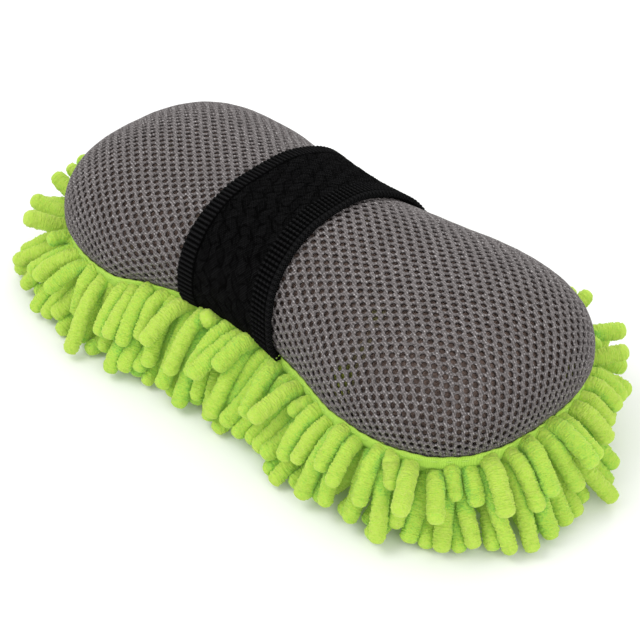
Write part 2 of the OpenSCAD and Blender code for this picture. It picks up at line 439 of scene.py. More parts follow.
def spacer_mesh_material():
    """Grey warp-knit strands with fine slanting loops and a few bright filaments."""
    material, tree, shader = make_material("spacer_mesh", 0.5)
    where = cloth_coords(tree)
    loops = stripes(tree, where, math.radians(76), 0.98 * MM)
    cross = stripes(tree, where, math.radians(-25), 0.9 * MM)
    grain = noise(tree, where, 1500.0, 2.0)
    drift = noise(tree, where, 70.0, 3.0)
    tone = weighted(tree, (loops, 0.075), (cross, 0.03), (grain, 0.85), (drift, 0.08))
    stops = [
        (0.24, (0.045, 0.040, 0.039)),
        (0.44, (0.118, 0.105, 0.104)),
        (0.60, (0.206, 0.185, 0.183)),
        (0.70, (0.45, 0.43, 0.43)),
    ]
    colour = ramp(tree, tone, stops)
    finish_material(tree, shader, colour, weighted(tree, (loops, 0.6), (grain, 1.0)), 0.17 * MM, 0.9)
    return material


def foam_material():
    """Brown open-cell foam with olive places, seen through the holes of the cover."""
    material, tree, shader = make_material("foam", 0.95)
    where = object_coords(tree)
    cells = add_node(tree, "ShaderNodeTexVoronoi", {"Vector": where, "Scale": 900.0}).outputs["Distance"]
    patches = noise(tree, where, 32.0, 2.0)
    brown = ramp(tree, cells, [(0.0, (0.11, 0.078, 0.066)), (0.7, (0.27, 0.195, 0.165))])
    olive = ramp(tree, cells, [(0.0, (0.12, 0.13, 0.03)), (0.7, (0.30, 0.33, 0.05))])
    share = add_node(tree, "ShaderNodeMapRange", {"Value": patches, "From Min": 0.62, "From Max": 0.70})
    colour = mix(tree, share.outputs["Result"], brown, olive)
    finish_material(tree, shader, colour, cells, 0.4 * MM)
    return material


def strap_material():
    """Black polyester webbing with fine yarns, with painted shade in its grooves and painted light on its
    ridges.
    """
    material, tree, shader = make_material("elastic_strap", 0.85, {"Specular IOR Level": 0.03})
    where = cloth_coords(tree)
    relief = add_node(tree, "ShaderNodeSeparateXYZ", {"Vector": where}).outputs["Z"]
    across = stripes(tree, where, 0.0, 0.85 * MM)
    along = stripes(tree, where, math.pi / 2, 0.80 * MM)
    yarns = math_node(tree, "MULTIPLY", across, along)
    grain = noise(tree, where, 1400.0, 2.0)
    # painted shade and light: the relief darkens the grooves and lightens the ridges
    tone = weighted(tree, (yarns, 0.30), (grain, 0.7), (relief, 1.5))
    stops = [
        (0.10, (0.0002, 0.0002, 0.0002)),
        (0.40, (0.0050, 0.0050, 0.0052)),
        (0.85, (0.0190, 0.0190, 0.0198)),
    ]
    colour = ramp(tree, tone, stops)
    finish_material(tree, shader, colour, weighted(tree, (yarns, 1.0), (grain, 1.0)), 0.3 * MM, 0.9)
    return material


def chenille_material():
    """Lime microfibre pile in fine rings, with painted shade: deeper green where neighbouring noodles close
    round it.
    """
    finish = {
        "Specular IOR Level": 0.1,
        "Sheen Weight": 0.2,
        "Sheen Tint": (0.95, 1.0, 0.5, 1),
        # painted light: the pile glows faintly lime, which lifts its shadows
        "Emission Color": (0.40, 0.68, 0.10, 1),
        "Emission Strength": 0.11,
        "Subsurface Weight": 0.3,
        "Subsurface Radius": (0.7, 1.0, 0.3),
        "Subsurface Scale": 3 * MM,
    }
    material, tree, shader = make_material("chenille", 0.9, finish)
    where = cloth_coords(tree)
    here = object_coords(tree)
    parts = add_node(tree, "ShaderNodeSeparateXYZ", {"Vector": where})
    pile = noise(tree, here, 1700.0, 3.0)
    tufts = noise(tree, here, 420.0, 3.0)
    place = math_node(tree, "ADD", parts.outputs["Y"], math_node(tree, "MULTIPLY", tufts, 1.3 * MM))
    rings = math_node(tree, "SINE", math_node(tree, "MULTIPLY", place, 2 * math.pi / (0.62 * MM)))
    # the cloth's Z is each noodle's random tone, less painted shade where neighbours close round it
    tone = weighted(tree, (pile, 0.55), (tufts, 0.22), (rings, 0.03), (parts.outputs["Z"], 1.0))
    stops = [
        (0.12, (0.14, 0.37, 0.055)),
        (0.25, (0.28, 0.52, 0.07)),
        (0.37, (0.385, 0.55, 0.065)),
        (0.62, (0.46, 0.56, 0.12)),
    ]
    colour = ramp(tree, tone, stops)
    finish_material(tree, shader, colour, weighted(tree, (pile, 1.0), (rings, 0.13)), 0.35 * MM, 0.75)
    return material


def lime_cloth_material():
    """Smooth lime knit with a fine grid of loops."""
    finish = {"Sheen Weight": 0.2, "Sheen Tint": (0.9, 1.0, 0.6, 1)}
    material, tree, shader = make_material("lime_cloth", 0.8, finish)
    where = object_coords(tree)
    wave = add_node(tree, "ShaderNodeTexWave", {"Vector": where, "Scale": 700.0, "Distortion": 1.5})
    weave = wave.outputs["Fac"]
    grain = noise(tree, where, 1200.0, 2.0)
    drift = noise(tree, where, 90.0, 2.0)
    tone = weighted(tree, (weave, 0.3), (drift, 0.5), (grain, 0.25))
    colour = ramp(tree, tone, [(0.25, (0.33, 0.58, 0.05)), (0.75, (0.50, 0.75, 0.11))])
    finish_material(tree, shader, colour, math_node(tree, "ADD", weave, grain), 0.15 * MM, 0.6)
    return material


def thread_material():
    """Glossy lime sewing thread, twisted."""
    material, tree, shader = make_material("lime_thread", 0.45)
    where = object_coords(tree)
    inputs = {"Vector": where, "Scale": 1100.0}
    wave = add_node(tree, "ShaderNodeTexWave", inputs, bands_direction="DIAGONAL")
    twist = wave.outputs["Fac"]
    colour = ramp(tree, twist, [(0.1, (0.35, 0.60, 0.05)), (0.9, (0.60, 0.85, 0.20))])
    finish_material(tree, shader, colour, twist, 0.1 * MM)
    return material


# ---- mesh cover

CELL_PITCH = 3.45 * MM
# How the knit's regular hexagons are drawn out of shape on the pad
KNIT_STRETCH = np.array([[0.836, 0.173], [0.0, 1.04]])
HOLE_R = 1.07 * MM
NET_THICK = 0.9 * MM
NET_TOP = 0.16 * MM
HOLE_TOP = -0.12 * MM
HOLE_SIDES = 12
EDGE_PAST_SEAM = 2.1 * MM
# Grid that cell corners are rounded to, to find those that cells share
SAME_POINT = 0.0211 * MM


def cell_centres():
    """Centres of the knit's hexagons on the flat cloth, out to behind the binding."""
    column = CELL_PITCH * math.sqrt(3) / 2
    i, j = np.meshgrid(np.arange(-60, 61), np.arange(-30, 31), indexing="ij")
    regular = np.stack([(i * column).ravel(), ((j + 0.5 * (i % 2)) * CELL_PITCH).ravel()], -1)
    x, y = (regular @ KNIT_STRETCH.T).T
    foot, direction, distance = unfold(x, y)
    kept = distance < distance_to(foot, direction, SEAM) + EDGE_PAST_SEAM
    return np.stack([x[kept], y[kept]], -1)


def cell_rings(centres):
    """Flat rings of each cell: its outline, and its hole."""
    angle = np.arange(HOLE_SIDES) * 2 * math.pi / HOLE_SIDES
    outline = np.where(np.arange(HOLE_SIDES) % 2 == 0, CELL_PITCH / math.sqrt(3), CELL_PITCH / 2)
    way = ways(angle)
    return centres[:, None] + (outline[:, None] * way) @ KNIT_STRETCH.T, centres[:, None] + HOLE_R * way


def shared_points(flat):
    """Unique flat points and each one's number, so that neighbours share their points."""
    keys = np.rint(flat.reshape(-1, 2) / SAME_POINT).astype(np.int64)
    _, first, number = np.unique(keys, axis=0, return_index=True, return_inverse=True)
    return flat.reshape(-1, 2)[first], number.reshape(flat.shape[:-1])


def net_faces(top, hole_top, hole_low, low):
    """Faces of every cell: the strand's face, the hole's wall, and the back."""
    turned = np.roll(np.arange(HOLE_SIDES), -1)
    quads = np.stack([top, top[:, turned], hole_top[:, turned], hole_top], -1)
    faces = quads.reshape(-1, 4).tolist()
    for k in range(HOLE_SIDES // 2):
        a, b, c = (hole_top[:, (2 * k + n) % HOLE_SIDES] for n in range(3))
        after = (k + 1) % (HOLE_SIDES // 2)
        start, end = hole_low[:, k], hole_low[:, after]
        faces += np.stack([a, b, start], -1).tolist()
        faces += np.stack([b, c, end, start], -1).tolist()
        faces += np.stack([start, end, low[:, after], low[:, k]], -1).tolist()
    return faces


def edge_faces(top, low):
    """Walls down the sides that only one cell has."""
    sides = {}
    for cell in range(len(top)):
        for k in range(HOLE_SIDES // 2):
            ends = (top[cell, 2 * k], top[cell, 2 * k + 1], top[cell, (2 * k + 2) % HOLE_SIDES])
            pair = (low[cell, k], low[cell, (k + 1) % (HOLE_SIDES // 2)])
            sides.setdefault(frozenset(pair), []).append((ends, pair))
    walls = []
    for found in sides.values():
        if len(found) == 1:
            (a, middle, b), (start, end) = found[0]
            walls.append([int(n) for n in (b, middle, a, start, end)])
    return walls


def build_mesh_cover():
    centres = cell_centres()
    outline, hole = cell_rings(centres)
    flat_top, top = shared_points(outline)
    flat_low, low = shared_points(outline[:, ::2])
    rim, floor = hole.reshape(-1, 2), hole[:, ::2].reshape(-1, 2)
    flat = np.concatenate([flat_top, rim, floor, flat_low])
    counts = [len(places) for places in (flat_top, rim, floor, flat_low)]
    lift = np.repeat([NET_TOP, HOLE_TOP, -NET_THICK, -NET_THICK], counts)
    lift[: len(flat_top)] += noise_2d(*flat_top.T, 9 * MM, 31) * 0.05 * MM
    points = on_cover(flat[:, 0], flat[:, 1]) + cover_normal(flat[:, 0], flat[:, 1]) * lift[:, None]
    hole_top = np.arange(len(rim)).reshape(-1, HOLE_SIDES) + len(flat_top)
    hole_low = np.arange(len(floor)).reshape(-1, HOLE_SIDES // 2) + len(flat_top) + len(rim)
    low = low + len(flat) - len(flat_low)
    faces = net_faces(top, hole_top, hole_low, low) + edge_faces(top, low)
    coords = np.column_stack([flat, lift])
    piece = add_piece("spacer_mesh_cover", points, faces, spacer_mesh_material(), coords)
    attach(piece, "pad")
    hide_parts("mesh_cover")


# ---- foam, cloth, binding

# How far the foam lies inside the cover on top, and how much more at the sides
FOAM_GAP = 1.7 * MM
FOAM_DRAW = 2.6 * MM
FOAM_IN_TRAY = 3.2 * MM
FOAM_LOW = 17.9 * MM
TRAY_THICK = 1.1 * MM
TRAY_FLOOR_THICK = 0.9 * MM
# Heights of the tray's rings down its side, and insets of those across its floor, in mm
TRAY_HEIGHTS = (25.8, 24.5, 23, 21.5, 20, 18.6, 17.5, 16.9)
TRAY_INSETS = (9.5, 14, 20, 27, 33)


def ring_piece(name, rings, material):
    """A closed piece through rings of equal size, with a point at each end."""
    points = np.concatenate([rings.reshape(-1, 3), rings[0].mean(0)[None], rings[-1].mean(0)[None]])
    faces = capped_faces(len(rings), len(rings[0]))
    return add_piece(name, points, faces, material), points, faces


def side_offset(z):
    """How far the base cloth's side lies inside the seam at a height under the binding."""
    share = (BINDING_LOW - z) / (BINDING_LOW - BASE_Z)
    return -np.interp(share, [0, 0.29, 0.47, 0.76, 1], np.array([0.8, 1.6, 2.4, 4.2, 9]) * MM)


def flat_ring(foot, direction, offset, z):
    """A ring round the pad at an offset from the seam, lifted with it near the seam."""
    out = reach_at(foot, direction) + offset
    z = z + lift_at(foot) * smoothstep(BASE_Z, BINDING_LOW, z)
    return spoke_points(foot, direction, out, z)


def side_ring(foot, direction, inset, z):
    """A ring down the pad's side, inside the base cloth by inset."""
    return flat_ring(foot, direction, side_offset(min(z, BINDING_LOW)) - inset, z)


def build_foam():
    """The sponge, close under the cover on top and drawing away from it at the sides."""
    foot, direction = SEAM_FOOT[::6], SEAM_DIRECTION[::6]
    places = np.linspace(0.04, 2.0, 40)
    rings = []
    for place in places:
        inset = FOAM_GAP + FOAM_DRAW * smoothstep(0.45, 1.6, place)
        rings.append(section_points(foot, direction, np.full(len(foot), place), -inset))
    for z in np.linspace(28, 18, 6) * MM:
        rings.append(side_ring(foot, direction, FOAM_IN_TRAY, z))
    rings.append(flat_ring(foot, direction, -13 * MM, FOAM_LOW))
    rings = np.array(rings)[::-1]
    piece, _, _ = ring_piece("foam_block", rings, foam_material())
    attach(piece, "pad")
    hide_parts("foam_core")


def build_base_cloth(material):
    """The cloth tray under the pad that the noodles are sewn to."""
    foot, direction = SEAM_FOOT[::4], SEAM_DIRECTION[::4]
    heights = np.array(TRAY_HEIGHTS) * MM
    outer = [side_ring(foot, direction, 0, z) for z in heights]
    inner = [side_ring(foot, direction, TRAY_THICK, z) for z in heights[:-1]]
    for inset in TRAY_INSETS:
        outer.append(flat_ring(foot, direction, -inset * MM, BASE_Z))
        inner.append(flat_ring(foot, direction, -(inset + 0.8) * MM, BASE_Z + TRAY_FLOOR_THICK))
    rings = np.array(outer[::-1] + inner)
    piece, points, faces = ring_piece("base_cloth_tray", rings, material)
    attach(piece, "pad")
    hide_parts("base_cloth")


BINDING_THICK = 0.55 * MM
# Middle of the folded strip, from its outer edge down, under the cover's edge and up:
# offsets from the seam and heights, in mm
FOLD_OUT = [0.75, 0.9, 0.95, 0.95, 0.75, 0.1, -1.0, -1.8, -2.0, -2.0, -1.95]
FOLD_Z = [30.3, 29.4, 28.0, 26.8, 25.8, 25.15, 25.1, 25.6, 26.8, 28.2, 29.4]


def folded_section():
    """Closed outline of the folded strip, as offsets from the seam and heights."""
    middle = np.column_stack([FOLD_OUT, FOLD_Z]) * MM
    along = unit(np.gradient(middle, axis=0))
    normal = np.column_stack([-along[:, 1], along[:, 0]]) * BINDING_THICK / 2
    return np.concatenate([(middle - normal)[::-1], middle + normal])


def build_binding(material):
    """The strip folded over the cover's edge, pulled in a little at each stitch."""
    foot, direction = SEAM_FOOT[::2], SEAM_DIRECTION[::2]
    lengths = SEAM_LENGTHS[:-1:2]
    pull = 0.16 * MM * np.cos(2 * math.pi * lengths / (SEAM_TOTAL / STITCH_COUNT))
    ripple = noise_2d(lengths, 0 * lengths, 14 * MM, 5) * 0.22 * MM
    loops = []
    for off, z in folded_section():
        share = (z - 25 * MM) / (5 * MM)
        out = reach_at(foot, direction) + off + pull * (off > 0)
        loops.append(spoke_points(foot, direction, out, z + ripple * share + lift_at(foot)))
    points = np.array(loops)
    faces = grid_faces(len(points), len(foot), loop_rows=True, loop_columns=True)
    piece = add_piece("edge_binding", points.reshape(-1, 3), faces, material)
    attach(piece, "pad")
    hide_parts("seam_binding")


STITCH_COUNT = 112
STITCH_R = 0.28 * MM
STITCH_HALF = 1.6 * MM
STITCH_OUT = 1.15 * MM
STITCH_DIP = 0.75 * MM
STITCH_Z = 28.7 * MM
STRAP_STITCHES = np.arange(-23, 23.1, 1.7) * MM


def tube(path, radius, sides=6):
    """Points and faces of a closed tube along a path, narrower at its ends."""
    tangent = unit(np.gradient(path, axis=0))
    side = unit(np.cross(tangent, [0.13, 0.21, 0.97]))
    up = np.cross(side, tangent)
    angle = np.arange(sides) * 2 * math.pi / sides
    ring = np.cos(angle)[None, :, None] * side[:, None] + np.sin(angle)[None, :, None] * up[:, None]
    size = np.full(len(path), radius)
    size[[0, -1]] *= 0.5
    points = (path[:, None] + ring * size[:, None, None]).reshape(-1, 3)
    return np.concatenate([points, path[:1], path[-1:]]), capped_faces(len(path), sides)


def joined(parts):
    """One list of points and faces from several."""
    points, faces, count = [], [], 0
    for part_points, part_faces in parts:
        points.append(part_points)
        faces += [[n + count for n in face] for face in part_faces]
        count += len(part_points)
    return np.concatenate(points), faces


def stitch(length):
    """One stitch along the seam, dipping into the cloth at both ends."""
    span = np.linspace(-1, 1, 7)
    at, out = seam_at(length + span * STITCH_HALF)
    off = STITCH_OUT - STITCH_DIP * span**4
    return tube(np.column_stack([at + out * off[:, None], STITCH_Z + lift_at(at[:, 0])]), STITCH_R)


def strap_stitches(side):
    """Short stitches down over the strap's end, where it goes into the seam."""
    parts = []
    for x in STRAP_X + STRAP_STITCHES:
        span = np.linspace(-1, 1, 6)
        y = side * (half_width(x) + (1.5 + 1.3 * (1 - span**2)) * MM)
        z = SEAM_Z + lift_at(x) + (0.6 + 0.9 * span) * MM
        parts.append(tube(np.column_stack([x + 0.5 * MM * span, y, z]), STITCH_R))
    return parts


def build_stitches():
    step = SEAM_TOTAL / STITCH_COUNT
    parts = [stitch((k + 0.5) * step) for k in range(STITCH_COUNT)]
    parts += strap_stitches(-1) + strap_stitches(1)
    points, faces = joined(parts)
    piece = add_piece("seam_stitches", points, faces, thread_material())
    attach(piece, "pad")
    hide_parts("seam_stitching")


# ---- hand strap

STRAP_X = -1.5 * MM
STRAP_HALF = 24 * MM
STRAP_THICK = 2.1 * MM
STRAP_GAP = 0.35 * MM
STRAP_NARROWING = 8.0 * MM
RIB_PITCH = 1.65 * MM
BAND_LEFT = -16 * MM
BAND_RIGHT = 13.6 * MM
LINE_PITCH = 1.85 * MM
BORDER = 21.4 * MM
BLOCK = 3.75 * MM


def blocks(u, v):
    """Distance to the nearest line of a pattern of tumbling blocks, and which face it is."""
    width, height = 2 * BLOCK, 2 * math.sqrt(3) * BLOCK
    local = []
    for shift in (0, 0.5):
        du = u / width + shift
        dv = v / height + shift
        local.append(np.stack([(du - np.rint(du)) * width, (dv - np.rint(dv)) * height], -1))
    nearer = np.linalg.norm(local[0], axis=-1) < np.linalg.norm(local[1], axis=-1)
    at = np.where(nearer[..., None], local[0], local[1])
    normals = ways(np.radians([0, 60, 120]))
    line = BLOCK - np.max([np.abs(at @ normal) for normal in normals], axis=0)
    for way in ways(np.radians([90, 210, 330])):
        past = np.abs(at[..., 0] * way[1] - at[..., 1] * way[0])
        line = np.minimum(line, np.where(at @ way > 0, past, np.linalg.norm(at, axis=-1)))
    face = np.floor((np.degrees(np.arctan2(at[..., 1], at[..., 0])) + 270) / 120).astype(int) % 3
    return line, face


def strap_relief(u, v):
    """Height of the strap's woven pattern: ribbed bands, lines and tumbling blocks."""
    ribs = 0.29 * np.cos(2 * math.pi * v / RIB_PITCH)
    left = smoothstep(BAND_LEFT, BAND_LEFT - 0.8 * MM, u)
    right = smoothstep(BAND_RIGHT, BAND_RIGHT + 0.8 * MM, u) * smoothstep(BORDER, BORDER - 0.5 * MM, u)
    centre = (1 - left) * (1 - smoothstep(BAND_RIGHT, BAND_RIGHT + 0.8 * MM, u))
    drift = noise_2d(u, v, 6 * MM, 31)
    worn = smoothstep(-0.9, 0.5, noise_2d(u, v, 4 * MM, 32))
    line, face = blocks(u + 0.8 * MM * drift, v - 0.7 * MM * drift)
    yarn = 0.19 * np.sin(2 * math.pi * u / (1.15 * MM)) * np.sin(2 * math.pi * v / (1.15 * MM))
    texture = yarn + np.array([0.035, 0.0, -0.045])[face]
    jacquard = texture - 0.26 * (0.2 + 0.8 * worn) * np.exp(-((line / (0.32 * MM)) ** 2))
    lines = np.cos(2 * math.pi * (u - BAND_RIGHT) / LINE_PITCH)
    grid = ribs - 0.28 * smoothstep(0.35, 1, lines)
    groove = -0.34 * np.exp(-(((u - BAND_LEFT) / (0.38 * MM)) ** 2))
    roll = (0.1 + 0.5 * ribs) * smoothstep(BORDER, BORDER + 0.6 * MM, u)
    return (left * ribs + right * grid + centre * jacquard + groove + roll) * MM


def strap_half_length():
    return distance_to(np.array([0.0]), np.array([math.pi / 2]), SEAM)[0] + 0.6 * MM


def strap_surface(u, v, offset):
    """Points at an offset over the cover, u across the strap and v along it."""
    stretch = np.cos(math.pi / 2 * np.clip(v / strap_half_length(), -1, 1))
    x = STRAP_X + u - STRAP_NARROWING * stretch * (u + STRAP_HALF) / (2 * STRAP_HALF)
    points = on_cover(x, v)
    return points + cover_normal(x, v) * offset[..., None]


def strap_columns():
    """Places across the strap, close together at the edges and where the pattern is."""
    return np.concatenate(
        [
            [-24, -23.92, -23.7, -23.3, -22.6, -21.4, -20, -18.6, -17.2, -16.7, -16.35],
            np.arange(-16, 13.7, 0.4),
            np.arange(14.0, 21.3, 0.37),
            [21.5, 21.8, 22.1, 22.6, 23.1, 23.5, 23.78, 23.94, 24],
        ]
    ) * MM


def build_strap():
    half = strap_half_length()
    rows = int(2 * half / (0.34 * MM))
    columns = strap_columns()
    v, u = np.meshgrid(np.linspace(-half, half, rows), columns, indexing="ij")
    edge = smoothstep(STRAP_HALF - 1.1 * MM, STRAP_HALF, np.abs(u))
    scallop = 0.14 * MM * np.cos(2 * math.pi * v / RIB_PITCH) * smoothstep(21 * MM, 23.5 * MM, abs(u))
    relief = strap_relief(u, v) * (1 - edge)
    sag = noise_2d(u, v, 26 * MM, 12) * 0.25 * MM
    middle = STRAP_GAP + STRAP_THICK * 0.45
    top = STRAP_GAP + STRAP_THICK - edge * (STRAP_THICK * 0.5) + relief + sag * (1 - edge)
    low = STRAP_GAP + edge * (STRAP_THICK * 0.35)
    top = np.maximum(top, middle + 0.1 * MM)
    outer = strap_surface(u + scallop * np.sign(u), v, top)
    inner = strap_surface(u, v, low)
    points = np.concatenate([outer.reshape(-1, 3), inner.reshape(-1, 3)])
    faces = strap_faces(rows, len(columns))
    # the relief also goes to the material, which paints shade in the grooves and light on the ridges
    coords = np.column_stack([u.ravel(), v.ravel(), (relief / MM).ravel()])
    coords = np.concatenate([coords, coords * [1, 1, 0]])
    piece = add_piece("elastic_hand_strap", points, faces, strap_material(), coords)
    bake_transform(piece)
    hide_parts("hand_strap", "strap_end_front", "strap_end_back")


def strap_faces(rows, columns):
    """Faces of a slab made of an outer and an inner grid."""
    outer = grid_faces(rows, columns)
    count = rows * columns
    inner = [[n + count for n in reversed(face)] for face in outer]
    grid = np.arange(count).reshape(rows, columns)
    rim = np.concatenate([grid[0], grid[1:, -1], grid[-1, -2::-1], grid[-2:0:-1, 0]]).tolist()
    sides = [[b, a, a + count, b + count] for a, b in zip(rim, rim[1:] + rim[:1])]
    return outer + inner + sides


# ---- noodles

NOODLE_R = 2.9 * MM
ROOT_R = 2.1 * MM
ROOT_LENGTH = 3.2 * MM
CAP_RINGS = 9
TIP_POWER = 0.68
# Points in a noodle's chain, and how much more the noodles at the back are raised, in degrees
CHAIN = 9
STAND = 13
MOST_LIFT = 26
STUB_LIFT = 14
STUB_LENGTHS = (10, 14)
# Tiers round the rim: how many, heights of the roots (mm), raised by and spread sideways
# (degrees), length (mm), and the share that are stubs
TOP_TIER = (84, [26.9, 25.5], 9, 27, 21.5, 0.13)
MIDDLE_TIER = (80, [23.6, 22.2], -8, 19, 27.5, 0.0)
LOWER_TIER = (84, [19.6, 18.4], -27, 14, 27, 0.0)
RIM_SIDES = 28
RIM_RINGS = 96
ROW_SIDES = 10
ROW_RINGS = 30
ROW_PITCH = 6.4 * MM
NOODLE_PITCH = 7 * MM
ROW_MARGIN = 10.5 * MM
SIDE_ROWS = 5
# Length of the noodles under the pad and how much it varies, in mm
ROW_LENGTH = (19, 1.0)
CROWD_REACH = 9 * MM
RIBS_PER_RING = 1.12 / 3.8
# The pad as the noodles feel it: the binding's face, the offsets from the seam past which a
# place is no longer beside the pad and where it starts to be under it, and the highest place
BINDING_FACE = 1.2 * MM
SHOULDER = -8.5 * MM
UNDER = -7 * MM
HIGHEST = 33 * MM
# How the noodles settle: share of speed kept, top speed, fall, stiffness, closest middles
STEPS = 130
SPEED_KEPT = 0.86
TOP_SPEED = 0.8 * MM
FALL = 0.07 * MM
STIFFNESS = 0.42
CLOSEST = 1.9 * NOODLE_R


def shelter(out):
    """From 1 where the noodles stand out stiffly, at the back, to 0 in front, where they hang."""
    return 1 - smoothstep(0.1, 0.9, out @ [0.71, -0.71])


def rim_places(at, out):
    """From 0 to 1 where noodles lie level, in front of the waist, and at the right of the far end."""
    level = smoothstep(0.78, 0.93, out @ [-0.93, -0.37])
    level += smoothstep(0.90, 0.97, out @ [0.40, 0.92]) * (at[:, 0] > 45 * MM)
    front = np.exp(-((at[:, 0] + 8 * MM) / (24 * MM)) ** 2) * smoothstep(0.5, 0.9, -out[:, 1])
    front += 0.6 * smoothstep(0.93, 0.99, out @ [0.98, -0.20])
    right = smoothstep(0.74, 0.96, out @ [0.72, 0.69])
    return level, front, right


def bare_strip(out):
    """How far the noodles are set down where the smooth cloth shows under the seam."""
    nearest = smoothstep(0.90, 0.97, out @ [0.71, -0.71])
    second = smoothstep(0.92, 0.98, out @ [-0.45, -0.89])
    return (3.2 * nearest + 2.0 * second) * MM


def rim_roots(count, heights, rise, spread, reach, stubs):
    """Roots round the rim: start, direction, length, place round the seam and how level."""
    step = SEAM_TOTAL / count
    along = (np.arange(count) + 0.5 + RNG.uniform(-0.22, 0.22, count)) * step
    z = np.resize(heights, count) * MM + RNG.uniform(-0.8, 0.8, count) * MM
    at, out = seam_at(along)
    z -= bare_strip(out)
    inward = side_offset(np.minimum(z, BINDING_LOW)) - 0.6 * MM
    start = np.column_stack([at + out * inward[:, None], z + lift_at(at[:, 0])])
    swing = np.radians(RNG.normal(0, spread, count))
    level, front, right = rim_places(at, out)
    lift = RNG.normal(rise, 12, count) + STAND * shelter(out) + 10 * front
    stub = RNG.random(count) < stubs
    lift = np.radians(np.minimum(lift * (1 - 0.7 * level) + 3 * right, MOST_LIFT) + STUB_LIFT * stub)
    flat = np.stack(
        [
            out[:, 0] * np.cos(swing) - out[:, 1] * np.sin(swing),
            out[:, 0] * np.sin(swing) + out[:, 1] * np.cos(swing),
        ],
        -1,
    )
    way = np.column_stack([flat * np.cos(lift)[:, None], np.sin(lift)])
    length = RNG.normal(reach, 2.3, count) + 5.2 * front + 0.8 * level - 5.0 * right
    length = np.where(stub, RNG.uniform(*STUB_LENGTHS, count), length)
    return start, way, length * MM, along, level


def row_places(row):
    """Places along a row under the pad, as in the CAD source."""
    shift = 0 if row % 2 == 0 else NOODLE_PITCH / 2
    x = np.arange(-15, 16) * NOODLE_PITCH + shift
    y = np.full(len(x), row * ROW_PITCH)
    foot, direction, distance = unfold(x, y)
    inside = distance <= reach_at(foot, direction) - ROW_MARGIN
    return np.stack([x[inside], y[inside]], -1)


def row_roots():
    """Roots under the pad: start, direction, length and row."""
    starts, rows = [], []
    for row in range(-SIDE_ROWS, SIDE_ROWS + 1):
        places = row_places(row)
        starts.append(np.column_stack([places, np.full(len(places), BASE_Z + 0.5 * MM)]))
        rows += [row] * len(places)
    start = np.concatenate(starts)
    count = len(start)
    way = np.column_stack([RNG.normal(0, 0.3, (count, 2)), np.full(count, -1.0)])
    way[:, :2] += start[:, :2] / (90 * MM)
    return start, unit(way), RNG.normal(*ROW_LENGTH, count) * MM, np.array(rows)


def near_pairs(points, chain, reach):
    """Pairs of points of different noodles that are closer than reach."""
    firsts, seconds = [], []
    flat = points.astype(np.float32)
    size = (flat**2).sum(1)
    for low in range(0, len(flat), 1024):
        part = flat[low : low + 1024]
        gap = size[low : low + 1024, None] + size[None] - 2 * part @ flat.T
        i, j = np.nonzero(gap < reach**2)
        i = i + low
        kept = (i < j) & (chain[i] != chain[j])
        firsts.append(i[kept])
        seconds.append(j[kept])
    return np.concatenate(firsts), np.concatenate(seconds)


def push_apart(points, pairs, closest, free):
    """Moves pairs of free points that are too close away from each other."""
    i, j = pairs
    gap = points[i] - points[j]
    size = np.maximum(np.linalg.norm(gap, axis=1), 1e-6)
    short = np.clip(closest - size, 0, None)
    move = gap / size[:, None] * (0.5 * short)[:, None] * 0.7
    total = np.zeros_like(points)
    for axis in range(3):
        total[:, axis] += np.bincount(i, move[:, axis], len(points))
        total[:, axis] -= np.bincount(j, move[:, axis], len(points))
    return points + total * free[:, None]


def keep_off_pad(points, free):
    """Moves points out of the pad's side and up off the floor."""
    off, out = offset_from_seam(points)
    z = points[:, 2]
    wall = np.where(z > BINDING_LOW, BINDING_FACE, side_offset(np.clip(z, BASE_Z, BINDING_LOW)))
    wall = wall + 0.9 * NOODLE_R
    beside = (z > BASE_Z + 0.5 * MM) & free.astype(bool) & (off > SHOULDER)
    short = np.where(beside, np.clip(wall - off, 0, 1.0 * MM), 0)
    points = points + out * short[:, None]
    under = free.astype(bool) & (off < UNDER)
    ceiling = np.where(under, BASE_Z - 0.8 * NOODLE_R, HIGHEST)
    points[:, 2] = np.where(free > 0, np.minimum(points[:, 2], ceiling), points[:, 2])
    points[:, 2] = np.maximum(points[:, 2], NOODLE_R * 1.02)
    return points


def settle(start, way, length, weight):
    """Lets noodles of given lengths droop, rest on the floor and lie against each other."""
    count = len(start)
    segment = length / (CHAIN - 1)
    along = np.arange(CHAIN)[None, :, None] * segment[:, None, None]
    chains = start[:, None] + way[:, None] * along
    chains[..., 2] = np.maximum(chains[..., 2], NOODLE_R)
    chain = np.repeat(np.arange(count), CHAIN)
    free = np.tile((np.arange(CHAIN) > 1).astype(float), count)
    held = chains[:, :2].copy()
    before = chains.copy()
    for step in range(STEPS):
        speed = np.clip((chains - before) * SPEED_KEPT, -TOP_SPEED, TOP_SPEED)
        before = chains.copy()
        chains = chains + speed
        chains[:, :, 2] -= FALL * weight[:, None]
        if step % 6 == 0:
            pairs = near_pairs(chains.reshape(-1, 3), chain, 2 * NOODLE_R + 3 * MM)
        for _ in range(4):
            chains = bend_back(chains, STIFFNESS)
            chains = hold_lengths(chains, segment)
            flat = push_apart(chains.reshape(-1, 3), pairs, CLOSEST, free)
            chains = keep_off_pad(flat, free).reshape(chains.shape)
            chains[:, :2] = held
    return chains


def bend_back(chains, stiff):
    """Straightens each chain a little."""
    bow = (chains[:, :-2] + chains[:, 2:]) / 2 - chains[:, 1:-1]
    moved = chains.copy()
    moved[:, 1:-1] += bow * stiff
    moved[:, :-2] -= bow * stiff * 0.5
    moved[:, 2:] -= bow * stiff * 0.5
    return moved


def hold_lengths(chains, segment):
    """Brings each chain's points back to their distance from one another."""
    for k in range(CHAIN - 1):
        gap = chains[:, k + 1] - chains[:, k]
        size = np.maximum(np.linalg.norm(gap, axis=1), 1e-6)
        fix = gap * ((size - segment) / size)[:, None]
        if k > 0:
            chains[:, k] += fix * 0.5
            chains[:, k + 1] -= fix * 0.5
        else:
            chains[:, k + 1] -= fix
    return chains


